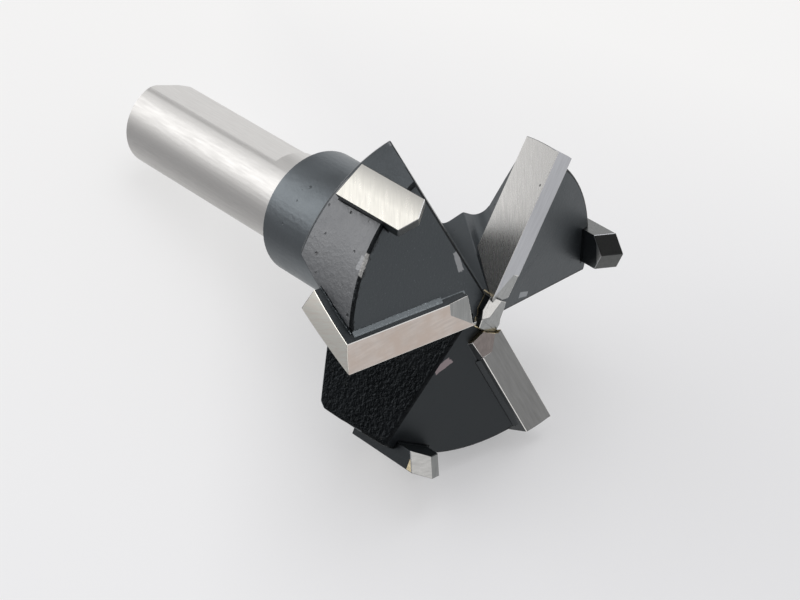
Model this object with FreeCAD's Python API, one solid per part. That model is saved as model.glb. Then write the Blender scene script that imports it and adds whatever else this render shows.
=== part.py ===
import FreeCAD, Part
import math
import os

from FreeCAD import Placement, Rotation, Vector

# Sizes in millimetres, angles in degrees. The drill frame has its origin on the axis,
# level with the outer corners of the main cutters, and +Z points out of the tip.

wing_count = 3
cutting_radius = 17.5
head_clearance = 1.0
head_radius = cutting_radius - head_clearance
head_back = 11.3
head_back_slope = 19.0
head_back_chamfer = 0.4
collar_radius = 6.85
collar_root_radius = 1.0
collar_back = 27.8
collar_chamfer = 0.25
shank_radius = 5.0
shank_end = 55.5
shank_chamfer = 0.7
shank_flat_depth = 1.0
shank_flat_start = 32.3
shank_flat_angle = 13.0

axial_rake = 25.0
edge_ahead = 0.45
land_relief = 12.0
front_relief = 11.0
front_drop = 0.83
front_lead = 8.0
side_relief_radius = 14.0
plate_thickness = 2.4
plate_length = 8.7
plate_inner = 1.25
plate_inner_slant = 21.0
braze_gap = 0.1
inner_gap = 0.25
braze_bead = 0.35
braze_bead_hollow = 0.72
braze_bead_margin = 0.5
inner_chamfer = 0.3

gullet_flank_depth = 2.2
gullet_root_radius = 1.5
trailing_flank_angle = 31.4
trailing_flank_incline = 21.0
trailing_flank_offset = 0.80
relief_floor_angle = 58.6
relief_floor_incline = 8.0
relief_floor_offset = 0.54

point_depth = 2.6
point_crest = 0.15
point_lead_slope = 24.0
point_rear_slope = 12.0
point_end_slope = 25.0
point_crest_angle = 160.7
point_crest_start = Vector(1.51, -0.72, 0)
point_end_start = Vector(-0.45, 0, 0)
point_outline = [
    Vector(1.80, 0.45, 0),
    Vector(1.56, 0.45, 0),
    Vector(0.32, 0.77, 0),
    Vector(-0.58, 0.54, 0),
    Vector(-1.55, -0.10, 0),
    Vector(-1.68, -1.25, 0),
    Vector(-1.38, -2.45, 0),
    Vector(-0.57, -2.50, 0),
    Vector(0.00, -2.15, 0),
    Vector(1.02, -1.90, 0),
    Vector(1.80, -1.60, 0),
]

thinning_point = Vector(4.6, -1.49, -0.41)
thinning_normal = Vector(-0.049, -0.277, 0.960)
thinning_end = 4.5
gash_wing = 1
gash_inner = 1.95
gash_front = 0.18
gash_depth = 1.6

spur_angle = -55.0
spur_width = 4.0
spur_clearance = 0.12
spur_outer = cutting_radius - spur_clearance
spur_thickness = 1.9
spur_back = 9.75
spur_tip = 0.8
spur_front_slope = 28.0
spur_bevel = 33.0

screw_radius = 2.45
screw_length = 8.0
screw_projection = 1.2
screw_point_chamfer = 0.5
screw_socket_across = 2.5
screw_socket_depth = 3.0
screw_bore_radius = 2.5
screw_bore_depth = 14.0
drill_point_angle = 118.0

overrun = 4.0
reach = shank_end + cutting_radius
first_down_angle = 219.0
first_down_slope = 14.6
rest_steps = 40
axis = Vector(0, 0, 1)
centre = Vector(0, 0, 0)
wing_step = 360.0 / wing_count
edge_turn = -math.degrees(math.asin(edge_ahead / cutting_radius))


def polar(radius, angle, height=0.0):
    turn = math.radians(angle)
    return Vector(radius * math.cos(turn), radius * math.sin(turn), height)


def tilted(angle, incline):
    """Unit vector at an angle about the axis, inclined above the level plane."""
    level = math.cos(math.radians(incline))
    return polar(level, angle, math.sin(math.radians(incline)))


def half_space(point, normal):
    """Large block on the side of a plane that its normal points to."""
    block = Part.makeBox(2 * reach, 2 * reach, 2 * reach, Vector(-reach, -reach, 0))
    block.Placement = Placement(point, Rotation(axis, normal))
    return block


def common_of(shapes):
    result = shapes[0]
    for shape in shapes[1:]:
        result = result.common(shape)
    return result


def prism(points, direction):
    face = Part.Face(Part.makePolygon(points + [points[0]]))
    return face.extrude(direction)


def turned(shape, angle):
    copy = shape.copy()
    copy.rotate(centre, axis, angle)
    return copy


def at_wing(shape, wing):
    """Carry a shape from the frame of the cutting edge to its own wing."""
    return turned(shape, edge_turn + wing * wing_step)


def rake_point(out, down, ahead):
    """Point in the frame of the rake face: outwards, down the face, ahead of it."""
    rake = math.radians(axial_rake)
    forward = edge_ahead - down * math.sin(rake) + ahead * math.cos(rake)
    height = -down * math.cos(rake) - ahead * math.sin(rake)
    return Vector(out, forward, height)


rake_normal = rake_point(0, 0, 1) - rake_point(0, 0, 0)


def inner_line(down, offset):
    return plate_inner + offset + down * math.tan(math.radians(plate_inner_slant))


def rake_outline(top, bottom, offset, ahead):
    """Outline of a plate in a plane parallel to the rake face."""
    outer = cutting_radius + overrun
    return [
        rake_point(outer, top, ahead),
        rake_point(outer, bottom, ahead),
        rake_point(inner_line(bottom, offset), bottom, ahead),
        rake_point(inner_line(top, offset), top, ahead),
    ]


def land_plane():
    normal = Vector(0, -math.sin(math.radians(land_relief)), math.cos(math.radians(land_relief)))
    return half_space(Vector(0, edge_ahead, 0), normal)


def front_normal():
    relief = math.radians(front_relief)
    return Vector(0, -math.sin(relief), math.cos(relief))


def side_relief():
    """Eccentric relief of the ground sides, touching the cutting circle at the edge."""
    offset = cutting_radius - side_relief_radius
    start = polar(offset, -edge_turn, -reach)
    return Part.makeCylinder(side_relief_radius, 2 * reach, start, axis)


def profile_of_body():
    back_rise = math.tan(math.radians(head_back_slope))
    cone_end = -head_back - (head_radius - collar_radius) * back_rise
    chamfer = head_back_chamfer
    return [
        Vector(0, 0, 1),
        Vector(head_radius, 0, 1),
        Vector(head_radius, 0, -head_back + chamfer),
        Vector(head_radius - chamfer, 0, -head_back - chamfer * back_rise),
        Vector(collar_radius, 0, cone_end),
        Vector(collar_radius, 0, -collar_back + collar_chamfer),
        Vector(collar_radius - collar_chamfer, 0, -collar_back),
        Vector(shank_radius, 0, -collar_back),
        Vector(shank_radius, 0, -shank_flat_start),
        Vector(shank_radius, 0, -shank_end + shank_chamfer),
        Vector(shank_radius - shank_chamfer, 0, -shank_end),
        Vector(0, 0, -shank_end),
    ]


def edges_near(shape, radius, height):
    """Circular edges of a turned shape at one radius and height."""
    found = []
    for edge in shape.Edges:
        middle = edge.CenterOfMass
        same_height = abs(middle.z - height) < 0.01
        if same_height and hasattr(edge.Curve, "Radius") and abs(edge.Curve.Radius - radius) < 0.01:
            found.append(edge)
    return found


def profile_line(start, end):
    """Line of the turned profile; a sloping one is a spline, whose cone cuts cleanly."""
    line = Part.LineSegment(start, end)
    if start.x != end.x and start.z != end.z:
        return line.toBSpline().toShape()
    return line.toShape()


def turned_blank():
    points = profile_of_body()
    lines = []
    for start, end in zip(points, points[1:] + points[:1]):
        lines.append(profile_line(start, end))
    face = Part.Face(Part.Wire(lines))
    blank = face.revolve(centre, axis, 360)
    root = edges_near(blank, collar_radius, points[4].z)
    return blank.makeFillet(collar_root_radius, root)


def front_cut():
    """What the relief of one wing's front face takes off, over a third of a turn."""
    lead = half_space(centre, polar(1, front_lead - 90.0))
    trail = half_space(centre, polar(1, front_lead - wing_step + 90.0))
    above = half_space(Vector(0, 0, -front_drop), front_normal())
    return common_of([above, lead, trail])


def gullet():
    """Chip space ahead of one cutter, milled in two passes with a rounded root."""
    flank = half_space(rake_point(0, 0, -gullet_flank_depth), rake_normal)
    away = tilted(trailing_flank_angle + wing_step, -trailing_flank_incline) * -1
    trailing = half_space(away * trailing_flank_offset, away)
    floor_start = rake_point(inner_line(0, -inner_gap), 0, 0)
    floor_end = rake_point(inner_line(1, -inner_gap), 1, 0)
    floor_normal = rake_normal.cross(floor_end - floor_start)
    if floor_normal.x < 0:
        floor_normal = floor_normal * -1
    seat_floor = half_space(floor_start, floor_normal)
    relief_normal = tilted(relief_floor_angle, -relief_floor_incline)
    relief_floor = half_space(relief_normal * relief_floor_offset, relief_normal)
    space = Part.makeCylinder(reach, 2 * reach, Vector(0, 0, -reach), axis)
    seat_pass = common_of([space, flank, trailing, seat_floor])
    root = []
    for edge in seat_pass.Edges:
        middle = edge.valueAt((edge.FirstParameter + edge.LastParameter) / 2)
        on_flank = abs((middle - rake_point(0, 0, -gullet_flank_depth)).dot(rake_normal)) < 1e-4
        on_floor = abs((middle - floor_start).dot(floor_normal)) < 1e-4
        if on_flank and on_floor:
            root.append(edge)
    seat_pass = seat_pass.makeFillet(gullet_root_radius, root)
    relief_pass = common_of([space, flank, trailing, relief_floor])
    return seat_pass.fuse(relief_pass)


def plate_seat():
    """Shallow pocket that locates a main cutter on the flank of its gullet."""
    rear = -plate_thickness - braze_gap
    outline = rake_outline(-overrun, plate_length + braze_gap, -inner_gap, rear)
    return prism(outline, rake_normal * (plate_thickness + braze_gap))


def spur_seat():
    """Pocket milled along the rim for a spur, open to the front and the side."""
    inner = spur_outer - spur_thickness - braze_gap
    block = Part.makeBox(reach, spur_width, reach)
    block.translate(Vector(inner, -spur_width / 2, -spur_back - braze_gap))
    return turned(block, spur_angle)


def point_blank(margin):
    """Upright prism of the centre point, grown by a margin for its seat."""
    wire = Part.makePolygon(point_outline + [point_outline[0]])
    if margin:
        wire = wire.makeOffset2D(margin)
    face = Part.Face(wire)
    face.translate(Vector(0, 0, -point_depth - margin))
    return face.extrude(Vector(0, 0, point_depth + overrun + margin))


def screw_bore():
    tip_depth = screw_bore_radius / math.tan(math.radians(drill_point_angle / 2))
    bore = Part.makeCylinder(screw_bore_radius, screw_bore_depth, Vector(0, 0, -shank_end), axis)
    tip_start = Vector(0, 0, -shank_end + screw_bore_depth)
    tip = Part.makeCone(screw_bore_radius, 0, tip_depth, tip_start, axis)
    return bore.fuse(tip)


def shank_flat():
    """Clamping flat that the set screw of the chuck bears on."""
    length = shank_end - shank_flat_start
    block = Part.makeBox(shank_radius, 2 * shank_radius, length)
    block.translate(Vector(shank_radius - shank_flat_depth, -shank_radius, -shank_end))
    return turned(block, shank_flat_angle)


def milled_blank():
    """Body before the pocket for the centre point is cut."""
    body = turned_blank()
    for wing in range(wing_count):
        for tool in (front_cut(), gullet(), plate_seat(), spur_seat()):
            body = body.cut(at_wing(tool, wing))
    body = body.cut(shank_flat())
    return body.cut(screw_bore())


def make_body():
    """Steel body: shank, collar and three-wing head turned and milled in one piece."""
    return milled_blank().cut(at_wing(point_blank(braze_gap), 0))


def centre_point():
    """Low roof-shaped point that the first cutter carries over the axis."""
    blank = point_blank(0)
    along = polar(1, point_crest_angle)
    across = Vector(along.y, -along.x, 0)
    crest = point_crest_start + Vector(0, 0, point_crest)
    lead_tilt = math.radians(point_lead_slope)
    rear_tilt = math.radians(point_rear_slope)
    end_tilt = math.radians(point_end_slope)
    lead = across * math.sin(lead_tilt) + axis * math.cos(lead_tilt)
    rear = across * -math.sin(rear_tilt) + axis * math.cos(rear_tilt)
    end = Vector(-math.sin(end_tilt), 0, math.cos(end_tilt))
    for point, normal in ((crest, lead), (crest, rear), (point_end_start, end)):
        blank = blank.cut(half_space(point, normal))
    return blank


def inner_chamfer_cut():
    """Chamfer where the rake face meets the inner end of a plate."""
    start = rake_point(inner_line(0, inner_chamfer), 0, 0)
    along = rake_point(inner_line(1, inner_chamfer), 1, 0) - start
    inward = along.cross(rake_normal).normalize()
    if inward.x > 0:
        inward = inward * -1
    return half_space(start, inward + rake_normal)


def thinning_cut():
    """Clearance ground on the inner end of a land, ending at a low wall."""
    above = half_space(thinning_point, thinning_normal)
    inside = half_space(Vector(thinning_end, 0, 0), Vector(-1, 0, 0))
    return above.common(inside)


def gash_cut():
    """Gap between the centre point and the plate that follows it."""
    box = Part.makeBox(overrun, overrun, overrun)
    box.translate(Vector(gash_inner - overrun, gash_front - overrun, -gash_depth))
    return box


def main_plate(wing):
    """Carbide plate with its ground land, relieved side and thinned inner end."""
    outline = rake_outline(-overrun, plate_length, 0, -plate_thickness)
    plate = prism(outline, rake_normal * plate_thickness)
    for tool in (land_plane(), inner_chamfer_cut(), thinning_cut()):
        plate = plate.cut(tool)
    plate = plate.common(side_relief())
    if wing == gash_wing:
        plate = plate.cut(gash_cut())
    return plate


def make_main_cutter(wing):
    plate = main_plate(wing)
    if wing == 0:
        plate = plate.fuse(centre_point()).removeSplitter()
        return at_wing(plate, wing)
    return at_wing(plate, wing).cut(at_wing(point_blank(braze_gap), 0))


def make_spur_cutter(wing):
    """Carbide bar along the rim, ground to a point that scores the wall of the hole."""
    inner = spur_outer - spur_thickness
    bar = Part.makeBox(spur_thickness, spur_width, spur_back + spur_tip)
    bar.translate(Vector(inner, -spur_width / 2, -spur_back))
    tip = Vector(spur_outer, 0, spur_tip)
    for side in (-1, 1):
        fall = math.tan(math.radians(spur_front_slope))
        rise = math.tan(math.radians(spur_bevel))
        normal = Vector(-rise, side * fall, 1)
        bar = bar.cut(half_space(tip, normal))
    return at_wing(turned(bar, spur_angle), wing)


def bead_section():
    """Concave fillet of brazing metal where a plate stands proud of the front face."""
    normal = front_normal()
    rake = math.radians(axial_rake)
    down = Vector(0, -math.sin(rake), -math.cos(rake))
    start = rake_point(0, 0, -plate_thickness)
    level = (Vector(0, 0, -front_drop) - start).dot(normal) / down.dot(normal)
    corner = start + down * level
    along_front = Vector(0, -normal.z, normal.y)
    upper = corner - down * braze_bead
    lower = corner + along_front * braze_bead
    middle = (upper + lower) * 0.5
    hollow = corner + (middle - corner) * braze_bead_hollow
    below = corner + down * braze_gap
    edges = [
        Part.Arc(upper, hollow, lower).toShape(),
        Part.makeLine(lower, below),
        Part.makeLine(below, upper),
    ]
    return Part.Face(Part.Wire(edges))


def rim_cylinder():
    return Part.makeCylinder(head_radius, 2 * reach, Vector(0, 0, -reach), axis)


def make_point_braze(cutter):
    """Brazing metal between the centre point and what it stands in."""
    around = milled_blank()
    for wing in (1, 2):
        around = around.fuse(at_wing(main_plate(wing), wing))
    ring = point_blank(braze_gap).cut(point_blank(0))
    metal = at_wing(ring, 0).common(around).cut(cutter)
    return max(metal.Solids, key=lambda solid: solid.Volume)


def make_main_braze(wing, body, cutter):
    """Brazing metal under a plate, at its inner end and along its back edge."""
    rear = -plate_thickness - braze_gap
    outline = rake_outline(-overrun, plate_length + braze_gap, -inner_gap, rear)
    seat = prism(outline, rake_normal * (plate_thickness + braze_gap - inner_chamfer))
    seat = seat.cut(half_space(Vector(0, 0, -front_drop), front_normal()))
    seat = seat.cut(thinning_cut())
    seat = seat.common(rim_cylinder())
    bead = bead_section()
    bead.translate(Vector(thinning_end + braze_bead_margin, 0, 0))
    bead = bead.extrude(Vector(head_radius - thinning_end - 2 * braze_bead_margin, 0, 0))
    metal = at_wing(seat.fuse(bead), wing)
    return metal.cut(at_wing(point_blank(braze_gap), 0)).cut(cutter).cut(body)


def make_spur_braze(wing, cutter):
    """Brazing metal between a spur and the bottom and end of its seat."""
    metal = spur_seat().cut(half_space(Vector(0, 0, -front_drop), front_normal()))
    metal = metal.common(rim_cylinder())
    return at_wing(metal, wing).cut(cutter)


def make_length_screw():
    """Socket set screw in the end of the shank that sets the overall length."""
    outer = -shank_end - screw_projection
    screw = Part.makeCylinder(screw_radius, screw_length, Vector(0, 0, outer), axis)
    screw = screw.makeChamfer(screw_point_chamfer, edges_near(screw, screw_radius, outer))
    inner_edge = edges_near(screw, screw_radius, outer + screw_length)
    screw = screw.makeChamfer(screw_point_chamfer, inner_edge)
    corner = screw_socket_across / math.sqrt(3)
    points = [polar(corner, 60.0 * side, outer) for side in range(6)]
    return screw.cut(prism(points, Vector(0, 0, screw_socket_depth)))


def resting_frame(parts):
    """Placement that lays the bit on one wing's rim and main cutter and on the end of its shank."""
    rim = [v.Point for v in parts["body"].Vertexes if v.Point.distanceToLine(centre, axis) > collar_radius]
    plate = [v.Point for v in parts["main_cutter_3"].Vertexes]
    down = tilted(first_down_angle, -first_down_slope)
    for step in range(rest_steps):
        rim_foot = max(rim, key=lambda p: p.dot(down))
        plate_foot = max(plate, key=lambda p: p.dot(down))
        level = Vector(down.x, down.y, 0).normalize()
        heel = level * shank_radius + axis * (shank_chamfer - shank_end)
        normal = (plate_foot - rim_foot).cross(heel - rim_foot).normalize()
        down = normal if normal.dot(level) > 0 else normal * -1
    up = down * -1
    length = (axis - up * axis.dot(up)).normalize()
    side = up.cross(length)
    matrix = FreeCAD.Matrix(
        length.x, length.y, length.z, 0,
        side.x, side.y, side.z, 0,
        up.x, up.y, up.z, 0,
        0, 0, 0, 1,
    )
    return Placement(matrix)


def build_parts():
    parts = {"body": make_body()}
    for wing in range(wing_count):
        cutter = make_main_cutter(wing)
        parts["main_cutter_%d" % (wing + 1)] = cutter
        parts["main_braze_%d" % (wing + 1)] = make_main_braze(wing, parts["body"], cutter)
        spur = make_spur_cutter(wing)
        parts["spur_cutter_%d" % (wing + 1)] = spur
        parts["spur_braze_%d" % (wing + 1)] = make_spur_braze(wing, spur)
    parts["point_braze"] = make_point_braze(parts["main_cutter_1"])
    parts["length_screw"] = make_length_screw()
    return parts


def main():
    os.makedirs("parts", exist_ok=True)
    parts = build_parts()
    rest = resting_frame(parts)
    laid = {}
    for name, shape in parts.items():
        copy = shape.copy()
        copy.Placement = rest.multiply(copy.Placement)
        laid[name] = copy
    box = Part.makeCompound(list(laid.values())).optimalBoundingBox(False)
    shift = Vector(-box.Center.x, -box.Center.y, -box.ZMin)
    for name, shape in laid.items():
        shape.translate(shift)
        shape.exportStep("parts/%s.step" % name)
        print(name, len(shape.Solids), shape.isValid(), round(shape.Volume, 2))
    print("turn", rest.Rotation.Q, "shift", tuple(shift))
    print("size", box.XLength, box.YLength, box.ZLength)


main()
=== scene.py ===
import math

import bmesh
import bpy
from mathutils import Matrix, Quaternion, Vector


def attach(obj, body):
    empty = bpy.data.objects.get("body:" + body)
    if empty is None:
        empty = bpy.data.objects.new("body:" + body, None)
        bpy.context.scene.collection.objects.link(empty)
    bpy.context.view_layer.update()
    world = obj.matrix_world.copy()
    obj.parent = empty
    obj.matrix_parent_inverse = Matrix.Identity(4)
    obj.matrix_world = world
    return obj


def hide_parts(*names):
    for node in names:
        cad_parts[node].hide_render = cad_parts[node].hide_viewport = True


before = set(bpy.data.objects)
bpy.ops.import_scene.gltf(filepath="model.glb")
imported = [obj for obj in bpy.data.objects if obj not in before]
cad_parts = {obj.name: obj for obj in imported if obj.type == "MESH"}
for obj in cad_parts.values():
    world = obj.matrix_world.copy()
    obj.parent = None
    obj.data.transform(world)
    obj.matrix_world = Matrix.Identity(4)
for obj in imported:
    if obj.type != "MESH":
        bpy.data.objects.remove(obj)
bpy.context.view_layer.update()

bl_info = {
    "name": "Hinge boring bit",
    "version": (1, 0, 0),
    "blender": (4, 5, 0),
    "location": "View3D > Sidebar > Boring bit",
    "description": "Dresses the carbide-tipped hinge boring bit and sets its studio",
    "category": "Object",
}

MM = 0.001

# The bit's own frame in the row: origin on its axis at the cutting corners, +Z out of the tip.
LAY_TURN = Quaternion((0.2644064566, 0.5765277705, 0.2044524550, 0.7455897995))
LAY_PLACE = Vector((25.516371, -0.104877, 18.628433)) * MM
LAY = Matrix.Translation(LAY_PLACE) @ LAY_TURN.to_matrix().to_4x4()
UNLAY = LAY.inverted()

# Which way the ground and milled faces look: degrees turned from their own wing's cutting edge
# and degrees above the level plane.
WINGS = 3
WING_STEP = 360.0 / WINGS
EDGE_TURN = -1.4735
RAKE = (90.0, -25.0)
LAND = (-90.0, 78.0)
THINNING = (-100.0, 73.7)
PLATE_BACK = (-90.0, 25.0)
FRONT = (-90.0, 79.0)
FLANK = (91.4, 21.0)
SPUR = (-55.0, 0.0)

# Radii and heights on the axis, in millimetres in the bit's own frame.
HEAD_BACK = -13.5
FRONT_LOWEST = -6.0
RIM_RADIUS = 16.5
POINT_REACH = 3.0
BRASS_REACH = 3.4
SMEAR_TOP = -1.15
COLLAR_RADIUS = 6.85
COLLAR_TOP = -15.0
COLLAR_CUTS = (-24.0, -21.0, -19.0, -17.5, -16.5, -15.5, -14.7, -13.9, -13.1, -12.3)
SHANK_RADIUS = 5.0
SHANK_ROOT = 1.2
SHANK_TOP = -27.8
SHANK_BACK = -55.5
FLAT_ANGLE = 13.0
SCREW_RADIUS = 2.45
SCREW_BACK = -56.7
SCREW_LENGTH = 8.0
SOCKET_ACROSS = 2.5
SOCKET_DEPTH = 3.0

# The shortest edge that is rounded, and the largest face that counts as part of a torn edge.
SHORTEST_ROUND = 0.3
TORN_AREA = 12

# Least angle, in degrees, that is drawn as an edge; the shallow ground facets are crisp too.
SHARP = {"head_steel": 24.0, "carbide": 13.0, "braze": 35.0, "screw_steel": 30.0}

# The camera of the photograph, the lamps (size, compass angle and height, distance) and the floor.
PHOTO_CAMERA = Matrix((
    (0.645578, -0.578003, 0.499141, 0.162990),
    (0.762577, 0.452556, -0.462243, -0.139347),
    (0.041289, 0.679048, 0.732932, 0.230722),
    (0, 0, 0, 1)))
KEY_LAMP = ((0.54, 0.44), (-151, 23, 0.9))
BACK_LAMP = ((0.6, 0.6), (125, 68, 0.9))
LAMP_TARGET = (0, 0, 0.015)
FLOOR_REACH = 1.5


def tilted(angle, incline=0.0):
    """Unit vector in the bit's frame at an angle about its axis, inclined above the level plane."""
    turn, rise = math.radians(angle), math.radians(incline)
    return Vector((math.cos(rise) * math.cos(turn), math.cos(rise) * math.sin(turn), math.sin(rise)))


def wing_turn(wing):
    """Turn from the frame of a cutting edge to its own wing."""
    return Matrix.Rotation(math.radians(EDGE_TURN + wing * WING_STEP), 3, "Z")


def faces_like(normal, wing, angles, within):
    """Whether a normal lies within so many degrees of one of a wing's faces."""
    return normal.dot(wing_turn(wing) @ tilted(*angles)) > math.cos(math.radians(within))


# ---------------------------------------------------------------- settings


class BitFinishSettings(bpy.types.PropertyGroup):
    """Colours and edges of the bit's own finishes."""

    black: bpy.props.StringProperty(
        name="Black finish", description="sRGB hex of the black on head and collar", default="15181b")
    steel: bpy.props.StringProperty(
        name="Ground steel", description="sRGB hex of the ground shank", default="e2e0dd")
    carbide: bpy.props.StringProperty(
        name="Ground carbide", description="sRGB hex of the ground carbide", default="f0eeea")
    braze: bpy.props.StringProperty(
        name="Brazing metal", description="sRGB hex of the metal in the joints", default="e2d3b0")
    body_edge: bpy.props.FloatProperty(
        name="Head edge", description="Width of the broken edges of the steel head",
        default=0.12 * MM, unit="LENGTH", precision=5)
    carbide_edge: bpy.props.FloatProperty(
        name="Carbide edge", description="Width of the light that a ground carbide edge catches",
        default=0.05 * MM, unit="LENGTH", precision=5)
    thread_pitch: bpy.props.FloatProperty(
        name="Screw pitch", description="Thread pitch of the length screw",
        default=0.8 * MM, unit="LENGTH", precision=5)


class BitStageSettings(bpy.types.PropertyGroup):
    """Camera, floor and lamps of the studio."""

    lens: bpy.props.FloatProperty(
        name="Lens", description="Focal length that gives the photograph's perspective",
        default=132.26, unit="CAMERA")
    floor: bpy.props.StringProperty(
        name="Floor", description="sRGB hex of the pale floor", default="eeeef0")
    key_power: bpy.props.FloatProperty(
        name="Key lamp", description="Power of the lamp at the left", default=0.72, unit="POWER")
    back_power: bpy.props.FloatProperty(
        name="Back lamp", description="Power of the lamp above and behind", default=2.0, unit="POWER")
    room_light: bpy.props.FloatProperty(
        name="Room light", description="Strength of the tent's even light", default=0.84)
    open_side: bpy.props.FloatProperty(
        name="Open side", description="Share of the room light that the tent's open side gives",
        default=0.06)
    seam_side: bpy.props.FloatProperty(
        name="Seam", description="Share of the room light that the tent's seam behind the bit gives",
        default=0.45)


# --------------------------------------------------------------- materials


def linear(code, level=1.0):
    """Linear colour of an sRGB hex value, made darker or lighter by a level."""
    channels = [int(code[i:i + 2], 16) / 255 for i in (0, 2, 4)]
    curve = [c / 12.92 if c <= 0.04045 else ((c + 0.055) / 1.055) ** 2.4 for c in channels]
    return [min(1.0, c * level) for c in curve] + [1.0]


def add(tree, kind, settings=None, **links):
    """Adds a node, sets its properties and inputs, and links its inputs by name or by _number."""
    node = tree.nodes.new(kind)
    for name, value in (settings or {}).items():
        if isinstance(name, int) or name in node.inputs:
            node.inputs[name].default_value = value
        else:
            setattr(node, name, value)
    for name, source in links.items():
        key = int(name[1:]) if name[1:].isdigit() else name.replace("_", " ")
        tree.links.new(source, node.inputs[key])
    return node


def new_material(name, settings):
    """Empty node material with its shader, and the bit's own coordinates in millimetres."""
    material = bpy.data.materials.new(name)
    material.use_nodes = True
    tree = material.node_tree
    tree.nodes.clear()
    shader = add(tree, "ShaderNodeBsdfPrincipled", settings)
    add(tree, "ShaderNodeOutputMaterial", Surface=shader.outputs[0])
    place = add(tree, "ShaderNodeTexCoord")
    turned = add(tree, "ShaderNodeMapping", {
        "vector_type": "POINT", "Rotation": tuple(UNLAY.to_euler()),
        "Location": tuple(UNLAY.translation / MM), "Scale": (1 / MM,) * 3},
        Vector=place.outputs["Object"])
    return material, tree, shader, turned.outputs[0]


def blend(tree, factor, first, second):
    """Colour that goes from first to second; each is a colour or an output."""
    mix = add(tree, "ShaderNodeMix", {"data_type": "RGBA"})
    for index, value in ((6, first), (7, second)):
        if isinstance(value, list):
            mix.inputs[index].default_value = value
        else:
            tree.links.new(value, mix.inputs[index])
    tree.links.new(factor, mix.inputs[0])
    return mix.outputs[2]


def ramp(tree, source, low, high, out_low=0.0, out_high=1.0):
    """A value stretched from one range to another and held at its ends."""
    ends = {"From Min": low, "From Max": high, "To Min": out_low, "To Max": out_high}
    return add(tree, "ShaderNodeMapRange", ends, Value=source).outputs[0]


def maths(tree, operation, first, second, third=0.0):
    """One sum on outputs or numbers."""
    node = add(tree, "ShaderNodeMath", {"operation": operation})
    for index, value in enumerate((first, second, third)):
        if isinstance(value, (int, float)):
            node.inputs[index].default_value = value
        else:
            tree.links.new(value, node.inputs[index])
    return node.outputs[0]


def noise(tree, coords, scale, detail=3.0, rough=0.6):
    """Soft noise with so many waves to the unit, and finer ones in its detail."""
    return add(tree, "ShaderNodeTexNoise", {"Scale": scale, "Detail": detail, "Roughness": rough},
               Vector=coords).outputs[0]


def dot(tree, coords, way):
    """How far coordinates reach along a way."""
    return add(tree, "ShaderNodeVectorMath", {
        "operation": "DOT_PRODUCT", 1: tuple(way)}, _0=coords).outputs["Value"]


def spots(tree, coords, places, ragged):
    """Mask of small ragged boxes in the bit's frame; each is (centre, half sizes, turn)."""
    least = None
    for centre, size, turn in places:
        moved = add(tree, "ShaderNodeMapping", {
            "vector_type": "TEXTURE", "Location": tuple(centre),
            "Rotation": (0, 0, math.radians(turn)), "Scale": tuple(size)}, Vector=coords)
        apart = add(tree, "ShaderNodeSeparateXYZ", _0=moved.outputs[0])
        across = maths(tree, "ABSOLUTE", apart.outputs[0], 0.0)
        for axis in (1, 2):
            across = maths(tree, "MAXIMUM", across, maths(tree, "ABSOLUTE", apart.outputs[axis], 0.0))
        least = across if least is None else maths(tree, "MINIMUM", least, across)
    rough_edge = maths(tree, "MULTIPLY_ADD", ragged, 0.7, maths(tree, "SUBTRACT", least, 0.35))
    return ramp(tree, rough_edge, 0.95, 1.05, 1.0, 0.0)


# What the oxide film leaves of red, green and blue in its sheen.
BLUE_SHEEN = (0.85, 0.94, 1.0, 1.0)
GREY_SHEEN = (0.97, 0.98, 1.0, 1.0)


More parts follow.
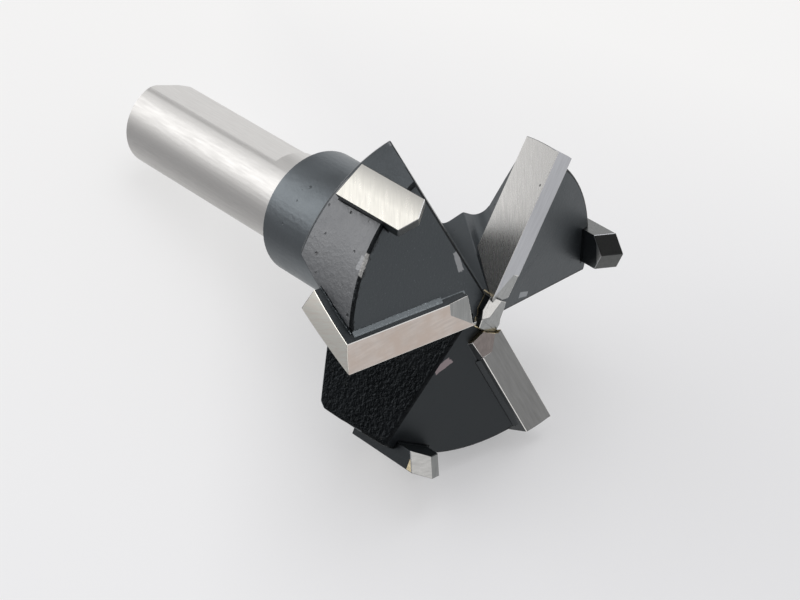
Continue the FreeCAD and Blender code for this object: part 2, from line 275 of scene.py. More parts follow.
def black_oxide(name, code, level, ior, rough, tooth, tooth_scale,
                pit_share=0.0, flecks=None, burr_radius=0.0, sheen=BLUE_SHEEN, fineness=4.0):
    """Black oxide on steel: a thin dark film with the sheen of what is under it.

    level makes it darker or lighter, tooth is the height of its grain in millimetres,
    tooth_scale is the grain's number to a millimetre and fineness its finer detail.
    """
    material, tree, shader, coords = new_material(name, {"IOR": ior, "Specular Tint": sheen})
    clouds = noise(tree, coords, 0.33, 5.0)
    grit = noise(tree, coords, tooth_scale, fineness, 0.65)
    shade = blend(tree, ramp(tree, clouds, 0.3, 0.7),
                  linear(code, level * 0.7), linear(code, level * 1.4))
    height = grit
    if pit_share:
        # pits of 0.2 to 0.4 mm, some two millimetres apart, where the clouds let them
        cells = add(tree, "ShaderNodeTexVoronoi", {"Scale": 0.8}, Vector=coords).outputs["Distance"]
        few = ramp(tree, noise(tree, coords, 0.55, 1.0), 0.60 - pit_share, 0.66 - pit_share)
        pit = maths(tree, "MULTIPLY", ramp(tree, cells, 0.08, 0.17, 1.0, 0.0), few)
        shade = blend(tree, pit, shade, linear("060708"))
        height = maths(tree, "MULTIPLY_ADD", pit, -3.0, grit)
    if flecks:
        # bare points of metal: how bare, how many to a millimetre, and how rare
        bare, per_mm, rarity = flecks
        glint = ramp(tree, noise(tree, coords, per_mm, 2.0, 0.5), rarity, rarity + 0.06, 0.0, bare)
        shade = blend(tree, glint, shade, linear("8d9498"))
        tree.links.new(glint, shader.inputs["Metallic"])
    if burr_radius:
        # a black, torn burr outside this radius
        level_place = add(tree, "ShaderNodeVectorMath", {
            "operation": "MULTIPLY", 1: (1, 1, 0)}, _0=coords).outputs[0]
        radius = add(tree, "ShaderNodeVectorMath", {
            "operation": "LENGTH"}, _0=level_place).outputs["Value"]
        torn = maths(tree, "MULTIPLY_ADD", noise(tree, coords, 1.3, 3.0, 0.7), 2.4, radius)
        burr = ramp(tree, torn, burr_radius + 1.2, burr_radius + 1.3)
        shade = blend(tree, burr, shade, linear("040404"))
        height = maths(tree, "MULTIPLY_ADD", burr, maths(tree, "MULTIPLY", grit, 9.0), height)
    bump = add(tree, "ShaderNodeBump", {"Strength": 1.0, "Distance": tooth * MM}, Height=height)
    tree.links.new(ramp(tree, clouds, 0.3, 0.7, rough - 0.05, rough + 0.06), shader.inputs["Roughness"])
    tree.links.new(shade, shader.inputs["Base Color"])
    tree.links.new(bump.outputs[0], shader.inputs["Normal"])
    return material, tree, shader, coords, shade


def ground_metal(name, code, rough, grain, scratch, contrast=0.12, tint=None):
    """Ground metal: fine scratches along the grain draw each reflection out into soft streaks.

    grain is the scratches' direction in the bit's frame and scratch their depth in millimetres.
    """
    material, tree, shader, coords = new_material(name, {"Metallic": 1.0})
    # drawn about 0.25 mm apart, coarser than the wheel's real grit marks, so that they show
    turn = tilted(*grain).to_track_quat("Z", "Y").to_euler()
    lengthwise = add(tree, "ShaderNodeMapping", {
        "vector_type": "TEXTURE", "Rotation": tuple(turn),
        "Scale": (0.25, 0.25, 2.9)}, Vector=coords).outputs[0]
    lines = noise(tree, lengthwise, 1.0, 2.0, 0.6)
    shade = blend(tree, ramp(tree, lines, 0.3, 0.7),
                  linear(code, 1 - contrast), linear(code, 1 + contrast))
    if tint:
        clouds = noise(tree, coords, 0.35, 3.0)
        shade = blend(tree, ramp(tree, clouds, 0.42, 0.62), shade, linear(tint))
    bump = add(tree, "ShaderNodeBump", {"Strength": 1.0, "Distance": scratch * MM}, Height=lines)
    tree.links.new(shade, shader.inputs["Base Color"])
    tree.links.new(ramp(tree, lines, 0.3, 0.7, rough + 0.05, rough - 0.04), shader.inputs["Roughness"])
    tree.links.new(bump.outputs[0], shader.inputs["Normal"])
    return material, tree, shader, coords, shade


def wing_point(wing, x, y, z):
    """Point of a wing's own frame in the bit's frame, in millimetres."""
    return wing_turn(wing) @ Vector((x, y, z))


def rubbed_bare(material, tree, shader, coords, shade, places, code="949597"):
    """Lays bright steel over a black finish where it is rubbed off."""
    bare = spots(tree, coords, places, noise(tree, coords, 2.0, 3.0))
    tree.links.new(blend(tree, bare, shade, linear(code)), shader.inputs["Base Color"])
    tree.links.new(ramp(tree, bare, 0.0, 1.0, 0.0, 0.9), shader.inputs["Metallic"])
    return material


def rubbed_dark(material, tree, shader, coords, shade, places):
    """Lays small dark pits over a ground metal."""
    pits = spots(tree, coords, places, noise(tree, coords, 2.0, 3.0))
    tree.links.new(blend(tree, pits, shade, linear("191a1b")), shader.inputs["Base Color"])
    return material


def paint_shade_across(material, tree, shader, coords, shade, middle_angle, code):
    """Paints shade on a face towards its trailing side, where a curved face would mirror darker; each
    wing has it, at the same angle from its edge.
    """
    apart = add(tree, "ShaderNodeSeparateXYZ", _0=coords).outputs
    angle = maths(tree, "ARCTAN2", apart[1], apart[0])
    from_middle = maths(tree, "MULTIPLY_ADD", angle, WINGS, -WINGS * math.radians(middle_angle))
    across = maths(tree, "SINE", from_middle, 0.0)
    darker = ramp(tree, across, 0.05, -0.30)
    tree.links.new(blend(tree, darker, shade, linear(code)), shader.inputs["Base Color"])
    return material


def black_finishes(black):
    """The blackened steels and the blackened ends of the carbide, by plain name."""
    made = {}
    # milled, then blackened: dark with a faint sheen, a fine tooth and a few bare points
    made["front"] = rubbed_bare(*black_oxide(
        "black_oxide_on_milled_steel", black, 1.0, 1.76, 0.40, 0.028, 3.6,
        flecks=(0.12, 6.0, 0.66)), FRONT_SPOTS)
    made["front_ragged"] = rubbed_bare(*black_oxide(
        "black_oxide_burred_at_the_rim", black, 1.0, 1.74, 0.40, 0.035, 3.6,
        flecks=(0.12, 6.0, 0.66), burr_radius=16.2), FRONT_SPOTS)
    # painted shade: the third wing's front is a darker copy of the same milled black, with less sheen
    # and darker rubbed spots, for the shaded floor it mirrors
    made["front_painted_dark"] = rubbed_bare(*black_oxide(
        "black_oxide_shaded_copy_on_milled_steel", black, 0.8, 1.44, 0.42, 0.006, 4.0), FRONT_SPOTS, "8c8082")
    # turned, then blackened: it keeps a soft burnished sheen under the film
    made["rim"] = rubbed_bare(*black_oxide(
        "black_oxide_on_turned_rim", black, 2.2, 2.5, 0.38, 0.06, 2.2, 0.10,
        sheen=GREY_SHEEN), APEX_SPOTS)
    # painted shade: past the spur the rim takes a darker copy of the turned black, with less sheen, for
    # the dim reflection there
    made["rim_shaded"] = rubbed_bare(*black_oxide(
        "black_oxide_shaded_copy_on_turned_rim", black, 1.0, 2.05, 0.38, 0.06, 3.0, 0.06), APEX_SPOTS)
    made["collar"] = black_oxide(
        "black_oxide_on_turned_collar", black, 1.0, 2.45, 0.33, 0.035, 1.6, 0.07)[0]
    # as forged, then blackened: a leathery skin that swallows all but the light on its grain
    made["skin"] = black_oxide(
        "black_oxide_on_forged_skin", black, 0.5, 1.40, 0.26, 0.15, 2.6, 0.07, fineness=1.8)[0]
    # torn at the edge: black and dull, with one corner rubbed bright
    made["ragged"] = rubbed_bare(*black_oxide(
        "black_oxide_on_ragged_edge", black, 0.25, 1.3, 0.45, 0.25, 1.6), EDGE_SPOTS, "b4b3b1")
    # milled hollows, then blackened: a soft satin sheen
    made["gullet"] = black_oxide(
        "black_oxide_in_gullets", black, 1.2, 1.85, 0.42, 0.03, 2.2, 0.02)[0]
    # carbide under the black film, beside its seat: nearly black, hardly shining
    made["black_carbide"] = black_oxide("blackened_carbide", black, 0.6, 1.5, 0.36, 0.02, 3.5)[0]
    # brazing metal that ran out and was blackened: it glitters where it is bare
    made["bead"] = black_oxide(
        "blackened_braze_bead", black, 1.0, 2.7, 0.28, 0.12, 2.4, flecks=(0.8, 4.2, 0.62))[0]
    # black oxide on the set screw in the shank: even, with a soft shine
    made["screw"] = black_oxide("black_oxide_socket_screw", "1f1f21", 1.0, 2.0, 0.34, 0.004, 4.0)[0]
    return made


def bright_finishes(steel, carbide, braze):
    """The ground steel, the ground carbides and the brazing metal, by plain name."""
    made = {}
    # ground tool steel: a bright satin with reflections drawn out along the shank
    made["shank"] = ground_metal("ground_tool_steel", steel, 0.42, (0, 90), 0.0008, 0.03)[0]
    made["shank_flat"] = made["shank"]
    # ground tungsten carbide: a bright grey that mirrors its surroundings in fine streaks
    made["rake"] = rubbed_dark(*ground_metal(
        "ground_tungsten_carbide", carbide, 0.27, (149, 47), 0.0009, 0.045), RAKE_PITS)
    # the lands: one ground carbide at three levels, painted reflection of what each mirrors: one cool
    # grey, one lighter with a rosy heat tint, one painted dark; and a plate's outer side, lighter still
    made["land_1"] = ground_metal(
        "ground_carbide_land_cool", "b5b6ba", 0.32, (-1.5, 0), 0.0012, 0.06)[0]
    made["land_2"] = ground_metal(
        "heat_tinted_carbide_land_painted_light", "cbc1ba", 0.34, (124, 2), 0.0014, 0.08, "c6b8ae")[0]
    made["land_3"] = ground_metal(
        "ground_carbide_land_painted_dark", "838382", 0.36, (-121.5, 0), 0.0014, 0.08)[0]
    made["side"] = ground_metal(
        "ground_carbide_side", "fff8ee", 0.34, (-176, -67), 0.0016, 0.08)[0]
    # thinned at the centre: painted shade, a middle grey with coarser scratches, darker than these
    # facets mirror; the third plate's copy darker and browner still
    made["thinned"] = ground_metal(
        "thinned_carbide_painted_dark", "989998", 0.30, (-160, 12), 0.0016, 0.10)[0]
    made["thinned_3"] = ground_metal(
        "browner_thinned_carbide_painted_darker", "837b78", 0.36, (-160, 12), 0.0016, 0.10)[0]
    # the spurs: brushed and nearly white on the outside, greyer on their other faces; the tip facets
    # take a brighter or darker copy spur by spur, painted light and shade, the first spur's darkest
    made["spur"] = paint_shade_across(*ground_metal(
        "brushed_carbide_spur", "f6f3ea", 0.30, (154, 45), 0.0024, 0.08),
        SPUR[0] + EDGE_TURN, "b9b7b2")
    made["spur_tip"] = ground_metal(
        "brushed_carbide_tip", "cbcac7", 0.30, (102, -5), 0.0020, 0.10)[0]
    made["spur_side"] = ground_metal(
        "ground_carbide_spur_side", "a9aaa9", 0.34, (154, 45), 0.0012, 0.08)[0]
    made["spur_dim"] = ground_metal(
        "carbide_spur_half_lit", "787a79", 0.32, (154, 45), 0.0012, 0.08)[0]
    made["spur_painted_dark"] = ground_metal(
        "carbide_spur_unpolished", "5c5d5c", 0.34, (154, 45), 0.0015, 0.1)[0]
    # brass that has run and set: pale yellow and softly rippled
    made["braze"] = ground_metal("brazing_brass", braze, 0.36, (0, 90), 0.006, 0.2)[0]
    return made


def wing_spot(wing, place, size, turn):
    """Box given in a wing's own frame: centre, half sizes and turn about the axis."""
    return wing_point(wing, *place), size, EDGE_TURN + wing * WING_STEP + turn


# Where the black is rubbed off: beside the trailing edge of each front, on the rim's upper edge
# and on its lower corner; and one dark pit in a rake face.
FRONT_SPOTS = [
    wing_spot(0, (2.62, -5.85, -1.95), (0.30, 0.65, 0.6), 14),
    wing_spot(1, (2.40, -6.00, -2.00), (0.33, 1.10, 0.6), 12),
    wing_spot(2, (2.52, -6.05, -2.00), (0.44, 1.00, 0.6), 0)]
EDGE_SPOTS = [wing_spot(1, (13.95, -9.25, -2.7), (1.15, 0.5, 0.6), 56)]
APEX_SPOTS = [wing_spot(1, (13.95, -9.25, -2.9), (0.7, 0.6, 0.5), 56),
              wing_spot(1, (4.2, -16.4, -10.7), (0.28, 0.5, 0.5), 0)]
RAKE_PITS = [wing_spot(0, (13.75, -0.2, -0.75), (0.11, 0.6, 0.13), 0)]


# ------------------------------------------------------------------ pieces


def merged_copy(node):
    """The node's mesh with its loose triangles joined and its flat faces made whole."""
    bm = bmesh.new()
    bm.from_mesh(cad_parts[node].data)
    bmesh.ops.remove_doubles(bm, verts=bm.verts, dist=0.001 * MM)
    bmesh.ops.dissolve_limit(bm, angle_limit=math.radians(0.3), use_dissolve_boundaries=False,
                             verts=bm.verts, edges=bm.edges, delimit=set())
    return bm


def break_edges(bm, width, wanted, least_angle=25.0, slide=True):
    """Small rounds on the sharp edges that wanted picks; the shortest stay as they are."""
    edges = []
    for edge in bm.edges:
        if len(edge.link_faces) != 2 or edge.calc_length() < SHORTEST_ROUND * MM:
            continue
        if edge.calc_face_angle(0.0) > math.radians(least_angle) and wanted(edge):
            edges.append(edge)
    bmesh.ops.bevel(bm, geom=edges, offset=width, offset_type="OFFSET", segments=2, profile=0.5,
                    affect="EDGES", clamp_overlap=False, loop_slide=slide, material=-1)


def keep_flat(mesh, index):
    """Marks the bounds of the faces in one material, so that they shade as a true plane."""
    bounds = {key for face in mesh.polygons if face.material_index == index for key in face.edge_keys}
    for edge in mesh.edges:
        edge.use_edge_sharp = edge.use_edge_sharp or edge.key in bounds


def finish_piece(bm, name, kinds, pick, node, slot):
    """Makes the worked mesh the piece that stands for its node, each face in its own finish."""
    finishes = all_finishes()
    for face in bm.faces:
        centre = UNLAY @ face.calc_center_median() / MM
        normal = UNLAY.to_3x3() @ face.normal
        face.material_index = kinds.index(pick(face, centre, normal.normalized()))
        face.smooth = True
    mesh = bpy.data.meshes.new(name)
    bm.to_mesh(mesh)
    bm.free()
    for kind in kinds:
        mesh.materials.append(finishes[kind])
    mesh.set_sharp_from_angle(angle=math.radians(SHARP[slot]))
    if "shank_flat" in kinds:
        keep_flat(mesh, kinds.index("shank_flat"))
    piece = bpy.data.objects.new(name, mesh)
    bpy.context.scene.collection.objects.link(piece)
    normals = piece.modifiers.new("even_normals", "WEIGHTED_NORMAL")
    normals.keep_sharp = True
    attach(piece, node if node == "length_screw" else "bit")
    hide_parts(node)
    return piece


FINISHES = {}


def all_finishes():
    """The finishes, made once and kept for every piece."""
    if not FINISHES:
        finish = bpy.context.scene.bit_finish
        FINISHES.update(black_finishes(finish.black))
        FINISHES.update(bright_finishes(finish.steel, finish.carbide, finish.braze))
    return FINISHES


def cut_level(bm, geom, height):
    """Cuts faces across at a height on the bit's axis."""
    bmesh.ops.bisect_plane(bm, geom=geom, dist=0.001 * MM,
                           plane_co=LAY @ Vector((0, 0, height * MM)),
                           plane_no=LAY.to_3x3() @ Vector((0, 0, 1)))


def cut_collar(bm):
    """Cuts the collar's long strips across, so that its roundness shades evenly up to the wings."""
    def on_collar(vert):
        return COLLAR_RADIUS - 0.05 < (UNLAY @ vert.co / MM).xy.length < COLLAR_RADIUS + 0.05

    for height in COLLAR_CUTS:
        strips = [face for face in bm.faces if all(on_collar(vert) for vert in face.verts)]
        edges = {edge for face in strips for edge in face.edges}
        verts = {vert for face in strips for vert in face.verts}
        cut_level(bm, strips + list(edges) + list(verts), height)


def edge_place(edge):
    """Middle of an edge in the bit's frame in millimetres, and its distance from the axis."""
    place = UNLAY @ ((edge.verts[0].co + edge.verts[1].co) / 2) / MM
    return place, math.hypot(place.x, place.y)


def edge_normals(edge):
    """Which way the faces beside an edge look, in the bit's frame."""
    return [(UNLAY.to_3x3() @ face.normal).normalized() for face in edge.link_faces]


def on_rim(edge):
    """Whether an edge lies at the upper part of the rim."""
    place, radius = edge_place(edge)
    return place.z > FRONT_LOWEST and radius > RIM_RADIUS - 0.1


def on_head(edge):
    """Whether an edge lies on the head, outside the centre and within the rim."""
    place, radius = edge_place(edge)
    return place.z > HEAD_BACK and radius > 3.2 and not on_rim(edge)


def beside_seat(edge):
    """Whether an edge lies between a front and its seat, where it stays sharp."""
    normals = edge_normals(edge)
    return any(faces_like(normals[i], wing, FRONT, 2.0) and faces_like(normals[1 - i], wing, RAKE, 5.0)
               for i in (0, 1) for wing in range(WINGS))


def beside_flank(edge):
    """Whether an edge bounds a forged flank near the tip."""
    return edge_place(edge)[0].z > FRONT_LOWEST and any(
        faces_like(normal, wing, FLANK, 3.0) for normal in edge_normals(edge) for wing in range(WINGS))


def beside_flat(edge):
    """Whether an edge bounds the flat along the shank."""
    place, radius = edge_place(edge)
    return SHANK_BACK + 1.0 < place.z < SHANK_TOP - 3.0 and radius > SHANK_RADIUS - 0.1


def shank_finish(face, normal):
    """Name of the finish of one face at or behind the collar's end."""
    if normal.dot(tilted(FLAT_ANGLE)) > 0.9999:
        return "shank_flat"
    reach = max((UNLAY @ vert.co / MM).xy.length for vert in face.verts)
    return "shank" if reach < SHANK_RADIUS + SHANK_ROOT else "collar"


def body_finish(face, centre, normal):
    """Name of the finish of one face of the steel body."""
    radius = math.hypot(centre.x, centre.y)
    if centre.z < SHANK_TOP + 0.01:
        return shank_finish(face, normal)
    if centre.z < COLLAR_TOP and radius < COLLAR_RADIUS + 0.1:
        return "collar"
    turned = math.degrees(math.atan2(centre.y, centre.x)) - EDGE_TURN
    for wing in range(WINGS):
        # a front reaches from 20 degrees before its own cutting edge to 100 degrees behind it
        own = (turned - WING_STEP * wing + 100.0) % 360.0 < 120.0
        if own and faces_like(normal, wing, FRONT, 2.0):
            # the third wing's front takes the darker copy: painted shade
            return ("front", "front_ragged", "front_painted_dark")[wing]
        if faces_like(normal, wing, FLANK, 3.0):
            return "skin"
    if radius > RIM_RADIUS - 0.4:
        if abs(normal.z) < 0.1:
            # past the spur, away from the cutting edge, the rim takes its darker copy: painted shade
            return "rim_shaded" if turned % WING_STEP - WING_STEP < SPUR[0] else "rim"
        return "ragged" if normal.z > 0 else "gullet"
    torn = normal.z > 0.3 and centre.z > FRONT_LOWEST and face.calc_area() < TORN_AREA * MM * MM
    return "ragged" if torn else "gullet"


class BIT_OT_body(bpy.types.Operator):
    """Dress the steel body: ground shank, black collar and winged head"""

    bl_idname = "bit.body"
    bl_label = "Steel body"

    def execute(self, context):
        width = context.scene.bit_finish.body_edge
        bm = merged_copy("body")
        cut_collar(bm)
        break_edges(bm, width * 2.6, beside_flat, slide=False)
        break_edges(bm, width * 2.4, on_rim, 50.0)
        break_edges(bm, width * 2.0, beside_flank, 50.0)
        break_edges(bm, width, lambda edge: on_head(edge) and not beside_seat(edge), 28.0)
        kinds = ["front", "front_ragged", "front_painted_dark", "rim", "rim_shaded", "skin", "ragged",
                 "gullet", "collar", "shank", "shank_flat"]
        finish_piece(bm, "steel_body", kinds, body_finish, "body", "head_steel")
        return {"FINISHED"}


def point_finish(normal):
    """Name of the finish of one face of the centre point."""
    if normal.z < 0.3:
        return "black_carbide"
    if normal.z < 0.93 and normal.x < -0.2:
        # the point's facets take the bright rake or the mid-grey painted shade by which way they face
        return "thinned" if normal.y < 0.1 else "rake"
    return "thinned" if normal.z > 0.95 else "rake"


def plate_finish(wing, centre, normal):
    """Name of the finish of one face of a carbide plate."""
    land = "land_%d" % (wing + 1)
    radius = math.hypot(centre.x, centre.y)
    inward = -(normal.x * centre.x + normal.y * centre.y)
    if wing == 0 and radius < POINT_REACH:
        return point_finish(normal)
    if wing == 2 and radius < BRASS_REACH and inward > 0.3 * radius:
        return "braze"
    if faces_like(normal, wing, LAND, 2.5):
        return land
    if faces_like(normal, wing, THINNING, 2.4):
        return "thinned_3" if wing == 2 else "thinned"
    if faces_like(normal, wing, RAKE, 12.0):
        return "rake"
    if radius > RIM_RADIUS + 0.3 and normal.z > -0.2:
        # the second plate's outer side takes the near-white painted reflection; the others take their
        # land's level
        return "side" if wing == 1 else land
    if normal.z > 0.15 and not faces_like(normal, wing, PLATE_BACK, 12.0):
        return "rake"
    return "black_carbide"


class BIT_OT_main_cutters(bpy.types.Operator):
    """Dress the three ground carbide plates and the centre point"""

    bl_idname = "bit.main_cutters"
    bl_label = "Main cutters"

    def execute(self, context):
        width = context.scene.bit_finish.carbide_edge
        for wing in range(WINGS):
            node = "main_cutter_%d" % (wing + 1)
            bm = merged_copy(node)
            break_edges(bm, width, lambda edge: True)
            kinds = ["rake", "land_%d" % (wing + 1), "side", "thinned", "thinned_3",
                     "black_carbide", "braze"]
            finish_piece(bm, "carbide_plate_%d" % (wing + 1), kinds,
                         lambda face, centre, normal: plate_finish(wing, centre, normal),
                         node, "carbide")
        return {"FINISHED"}


def spur_finish(wing, centre, normal):
    """Name of the finish of one face of a spur; the three spurs' tip facets take unlike copies of
    ground carbide, painted light and shade.
    """
    if faces_like(normal, wing, SPUR, 12.0):
        return "spur"
    if normal.z > 0.5:
        # each tip facet takes a brighter or darker copy on each spur, the first spur's darkest: painted
        # light and shade
        if normal.dot(wing_turn(wing) @ tilted(SPUR[0] + 90.0)) < 0:
            return ("spur_painted_dark", "spur", "spur_tip")[wing]
        return ("spur_painted_dark", "thinned", "spur_dim")[wing]
    if normal.z > 0.2:
        return "land_1"
    if faces_like(normal, wing, (SPUR[0] + 90.0, 0.0), 12.0):
        return ("thinned", "black_carbide", "black_carbide")[wing]
    if centre.z > SMEAR_TOP:
        if faces_like(normal, wing, (SPUR[0] - 90.0, 0.0), 12.0):
            return ("black_carbide", "black_carbide", "braze")[wing]
        if wing == 0 and faces_like(normal, wing, (SPUR[0] + 180.0, 0.0), 20.0):
            return "spur_side"
    return "black_carbide"


class BIT_OT_spur_cutters(bpy.types.Operator):
    """Dress the three carbide spurs on the rim"""

    bl_idname = "bit.spur_cutters"
    bl_label = "Spur cutters"

    def execute(self, context):
        width = context.scene.bit_finish.carbide_edge * 1.4
        for wing in range(WINGS):
            node = "spur_cutter_%d" % (wing + 1)
            bm = merged_copy(node)
            break_edges(bm, width, lambda edge: True)
            cut_level(bm, bm.verts[:] + bm.edges[:] + bm.faces[:], SMEAR_TOP)
            kinds = ["spur", "spur_side", "spur_tip", "spur_painted_dark", "spur_dim", "thinned",
                     "land_1", "black_carbide", "braze"]
            finish_piece(bm, "carbide_spur_%d" % (wing + 1), kinds,
                         lambda face, centre, normal: spur_finish(wing, centre, normal),
                         node, "carbide")
        return {"FINISHED"}


class BIT_OT_brazing(bpy.types.Operator):
    """Give the brazing metal its bright brass at the centre and its blackened beads at the seats"""

    bl_idname = "bit.brazing"
    bl_label = "Brazing metal"

    def execute(self, context):
        finishes = all_finishes()
        for name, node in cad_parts.items():
            if name.startswith("main_braze"):
                # painted shade: the third seat's bead takes the dull blackened carbide, so it catches
                # none of the highlight of the other beads
                kind = "black_carbide" if name.endswith("3") else "bead"
                finish_piece(merged_copy(name), name + "_fillet", [kind], lambda *_: kind,
                             name, "braze")
            elif "braze" in name:
                kind = "braze" if name == "point_braze" else "black_carbide"
                node.data.materials.clear()
                node.data.materials.append(finishes[kind])
        return {"FINISHED"}


class BIT_OT_length_screw(bpy.types.Operator):
    """Cut the thread and the hexagon socket of the length screw"""

    bl_idname = "bit.length_screw"
    bl_label = "Length screw"

    def execute(self, context):
        pitch = context.scene.bit_finish.thread_pitch / MM
        core = SCREW_RADIUS - 0.6 * pitch
        front = SCREW_BACK + SCREW_LENGTH
        bm = bmesh.new()

        # core with a chamfered front and an open back
        start = bm.verts.new((core, 0, SCREW_BACK))
        shoulder = bm.verts.new((core, 0, front - 0.5))
        nose = bm.verts.new((core - 0.5, 0, front))
        middle = bm.verts.new((0, 0, front))
        pairs = ((start, shoulder), (shoulder, nose), (nose, middle))
        outline = [bm.edges.new(pair) for pair in pairs]
        bmesh.ops.spin(bm, geom=[start, shoulder, nose, middle] + outline, cent=(0, 0, 0),
                       axis=(0, 0, 1), angle=math.tau, steps=48, use_merge=True)
        bmesh.ops.remove_doubles(bm, verts=bm.verts, dist=0.001)

        # hexagon socket bridged into the open back
        rim = [edge for edge in bm.edges if edge.is_boundary]
        made = bmesh.ops.create_circle(bm, segments=6, radius=SOCKET_ACROSS / math.sqrt(3),
                                       matrix=Matrix.Translation((0, 0, SCREW_BACK)))
        mouth = list({edge for vert in made["verts"] for edge in vert.link_edges})
        bmesh.ops.bridge_loops(bm, edges=rim + mouth)
        deep = bmesh.ops.extrude_edge_only(bm, edges=mouth)["geom"]
        corners = [item for item in deep if isinstance(item, bmesh.types.BMVert)]
        bmesh.ops.translate(bm, verts=corners, vec=(0, 0, SOCKET_DEPTH))
        bmesh.ops.contextual_create(bm, geom=corners)
        bmesh.ops.recalc_face_normals(bm, faces=bm.faces)

        # thread: one tooth carried round the core
        foot = SCREW_BACK + 0.1
        tooth = [bm.verts.new(place) for place in (
            (core - 0.05, 0, foot), (SCREW_RADIUS - 0.02, 0, foot + 0.42 * pitch),
            (SCREW_RADIUS - 0.02, 0, foot + 0.50 * pitch), (core - 0.05, 0, foot + 0.92 * pitch))]
        section = bm.faces.new(tooth)
        turns = int((SCREW_LENGTH - 0.9) / pitch) - 1
        steps = 40
        bmesh.ops.spin(bm, geom=[section], cent=(0, 0, 0), axis=(0, 0, 1), angle=math.tau * turns,
                       steps=steps * turns, dvec=(0, 0, pitch / steps), use_merge=False)
        bmesh.ops.transform(bm, matrix=LAY @ Matrix.Scale(MM, 4), verts=bm.verts)
        bmesh.ops.recalc_face_normals(bm, faces=bm.faces)
        finish_piece(bm, "socket_set_screw", ["screw"], lambda face, centre, normal: "screw",
                     "length_screw", "screw_steel")
        return {"FINISHED"}


# ------------------------------------------------------------------- stage


def area_lamp(name, power, size, place):
    """Rectangular lamp at a place, aimed at the bit."""
    data = bpy.data.lights.new(name, "AREA")
    data.shape = "RECTANGLE"
    data.size, data.size_y = size
    data.energy = power
    lamp = bpy.data.objects.new(name, data)
    lamp.location = place
    lamp.rotation_mode = "QUATERNION"
    lamp.rotation_quaternion = (Vector(LAMP_TARGET) - Vector(place)).to_track_quat("-Z", "Y")
    bpy.context.scene.collection.objects.link(lamp)
    return lamp


def direction(azimuth, elevation, distance):
    """Place at a compass angle from +X and an angle above the floor, seen from the bit."""
    return tilted(azimuth, elevation) * distance


def floor_paper(code):
    """Pale matt paper: the camera sees part of it as plain pale, painted lighter towards the back and
    at the left, where it paints out part of the shadows; the metal sees it with a painted reflection,
    dimmer in front, and a painted shadow beside the shank.
    """
    material = bpy.data.materials.new("pale_matt_paper")
    material.use_nodes = True
    tree = material.node_tree
    tree.nodes.clear()
    coords = add(tree, "ShaderNodeTexCoord").outputs["Object"]
    path = add(tree, "ShaderNodeLightPath").outputs

    def along(azimuth):
        return dot(tree, coords, direction(azimuth, 0, 1.0))

    # painted light: the camera sees the floor lighter towards the back
    seen = blend(tree, ramp(tree, along(137), -0.07, 0.06), linear("f1f1f3"), linear("fffefc"))
    # painted reflection: the metal sees the floor dark in front
    in_front = ramp(tree, along(-115), 0.016, 0.028)
    mirrored = maths(tree, "MAXIMUM", path["Is Glossy Ray"], path["Is Transmission Ray"])
    # painted light: more plain pale at the left and the back thins the shadows there
    plain_share = maths(tree, "MAXIMUM", ramp(tree, along(-130), -0.014, 0.012, 0.36, 0.68),
                        ramp(tree, along(120), 0.015, 0.050, 0.36, 0.70))
    seen_share = maths(tree, "MULTIPLY", path["Is Camera Ray"], plain_share)
    # painted shadow: the metal sees the floor darker beside the shank
    beside_shank = maths(tree, "MULTIPLY", ramp(tree, along(180), -0.004, 0.012),
                         ramp(tree, along(-90), 0.002, 0.010))
    painted_shadow_below = blend(tree, beside_shank, linear("f6f6f6"), linear("a8a8a8"))
    shade = blend(tree, mirrored, seen, blend(tree, in_front, painted_shadow_below, linear("787879")))
    plain = add(tree, "ShaderNodeEmission", {"Strength": 1.0}, Color=shade)
    paper = add(tree, "ShaderNodeBsdfDiffuse", {"Color": linear(code)})
    share = maths(tree, "MULTIPLY_ADD", mirrored, 0.7, seen_share)
    mixed = add(tree, "ShaderNodeMixShader", None, Fac=share, _1=paper.outputs[0], _2=plain.outputs[0])
    add(tree, "ShaderNodeOutputMaterial", None, Surface=mixed.outputs[0])
    return material


def tent_light(settings):
    """White light tent with a dim open side where the camera stands and a dim seam behind."""
    world = bpy.data.worlds.new("light_tent")
    world.use_nodes = True
    tree = world.node_tree
    tree.nodes.clear()
    way = add(tree, "ShaderNodeTexCoord").outputs["Generated"]

    def facing(azimuth, elevation, outer, inner):
        """Soft round patch: none outside the outer angle from its middle, all within the inner."""
        return ramp(tree, dot(tree, way, direction(azimuth, elevation, 1.0)),
                    math.cos(math.radians(outer)), math.cos(math.radians(inner)))

    opening = facing(-62, 25, 51, 39)
    camera = add(tree, "ShaderNodeLightPath").outputs["Is Camera Ray"]
    opening = maths(tree, "MULTIPLY", opening, maths(tree, "SUBTRACT", 1.0, camera))
    off_seam = maths(tree, "ABSOLUTE", dot(tree, way, direction(66, 0, 1.0)), 0.0)
    upright = ramp(tree, off_seam, math.sin(math.radians(22)), math.sin(math.radians(9)))
    seam = maths(tree, "MULTIPLY", upright, facing(156, 25, 46, 30))
    left = dot(tree, way, direction(-150, 20, 1.0))
    room = ramp(tree, left, -1.0, 1.0, settings.room_light * 0.92, settings.room_light * 1.08)
    level = maths(tree, "MULTIPLY", room, ramp(tree, opening, 0.0, 1.0, 1.0, settings.open_side))
    level = maths(tree, "MULTIPLY", level, ramp(tree, seam, 0.0, 1.0, 1.0, settings.seam_side))
    light = add(tree, "ShaderNodeBackground", {"Color": linear("fbfbfc")}, Strength=level)
    add(tree, "ShaderNodeOutputWorld", None, Surface=light.outputs[0])
    return world


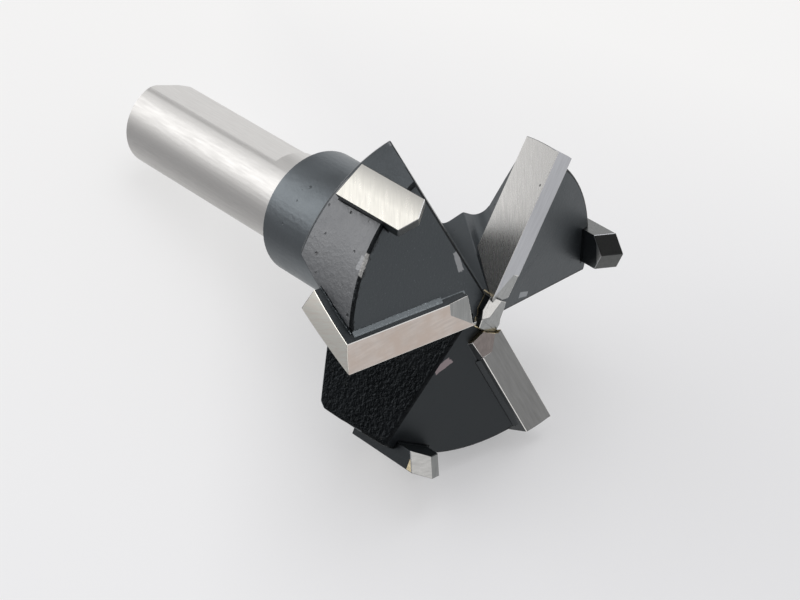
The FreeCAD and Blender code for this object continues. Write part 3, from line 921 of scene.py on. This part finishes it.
class BIT_OT_stage(bpy.types.Operator):
    """Set the pale floor, the soft light and the camera"""

    bl_idname = "bit.stage"
    bl_label = "Studio"

    def execute(self, context):
        settings = context.scene.bit_stage
        scene = context.scene
        camera_data = bpy.data.cameras.new("photo_camera")
        camera_data.lens = settings.lens
        camera_data.sensor_width = 36.0
        camera_data.clip_start = 0.01
        camera = bpy.data.objects.new("photo_camera", camera_data)
        camera.matrix_world = PHOTO_CAMERA
        scene.collection.objects.link(camera)
        scene.camera = camera

        bm = bmesh.new()
        bmesh.ops.create_grid(bm, x_segments=1, y_segments=1, size=FLOOR_REACH)
        mesh = bpy.data.meshes.new("pale_floor")
        bm.to_mesh(mesh)
        bm.free()
        mesh.materials.append(floor_paper(settings.floor))
        floor = bpy.data.objects.new("pale_floor", mesh)
        scene.collection.objects.link(floor)

        scene.world = tent_light(settings)
        for name, power, (size, place) in (("key_lamp", settings.key_power, KEY_LAMP),
                                           ("back_lamp", settings.back_power, BACK_LAMP)):
            area_lamp(name, power, size, direction(*place))
        scene.view_settings.view_transform = "Standard"
        return {"FINISHED"}


class BIT_PT_panel(bpy.types.Panel):
    """Sizes and colours of the boring bit and its studio"""

    bl_idname = "BIT_PT_panel"
    bl_label = "Boring bit"
    bl_space_type = "VIEW_3D"
    bl_region_type = "UI"
    bl_category = "Boring bit"

    def draw(self, context):
        layout = self.layout
        for settings in (context.scene.bit_finish, context.scene.bit_stage):
            for name in settings.__annotations__:
                layout.prop(settings, name)
        for operator in OPERATORS:
            layout.operator(operator.bl_idname)


OPERATORS = (BIT_OT_body, BIT_OT_main_cutters, BIT_OT_spur_cutters, BIT_OT_brazing,
             BIT_OT_length_screw, BIT_OT_stage)
CLASSES = (BitFinishSettings, BitStageSettings) + OPERATORS + (BIT_PT_panel,)


def register():
    for item in CLASSES:
        bpy.utils.register_class(item)
    bpy.types.Scene.bit_finish = bpy.props.PointerProperty(type=BitFinishSettings)
    bpy.types.Scene.bit_stage = bpy.props.PointerProperty(type=BitStageSettings)


def unregister():
    del bpy.types.Scene.bit_stage
    del bpy.types.Scene.bit_finish
    for item in reversed(CLASSES):
        bpy.utils.unregister_class(item)


def main():
    register()
    bpy.ops.bit.body()
    bpy.ops.bit.main_cutters()
    bpy.ops.bit.spur_cutters()
    bpy.ops.bit.brazing()
    bpy.ops.bit.length_screw()
    bpy.ops.bit.stage()


if __name__ == "__main__":
    main()
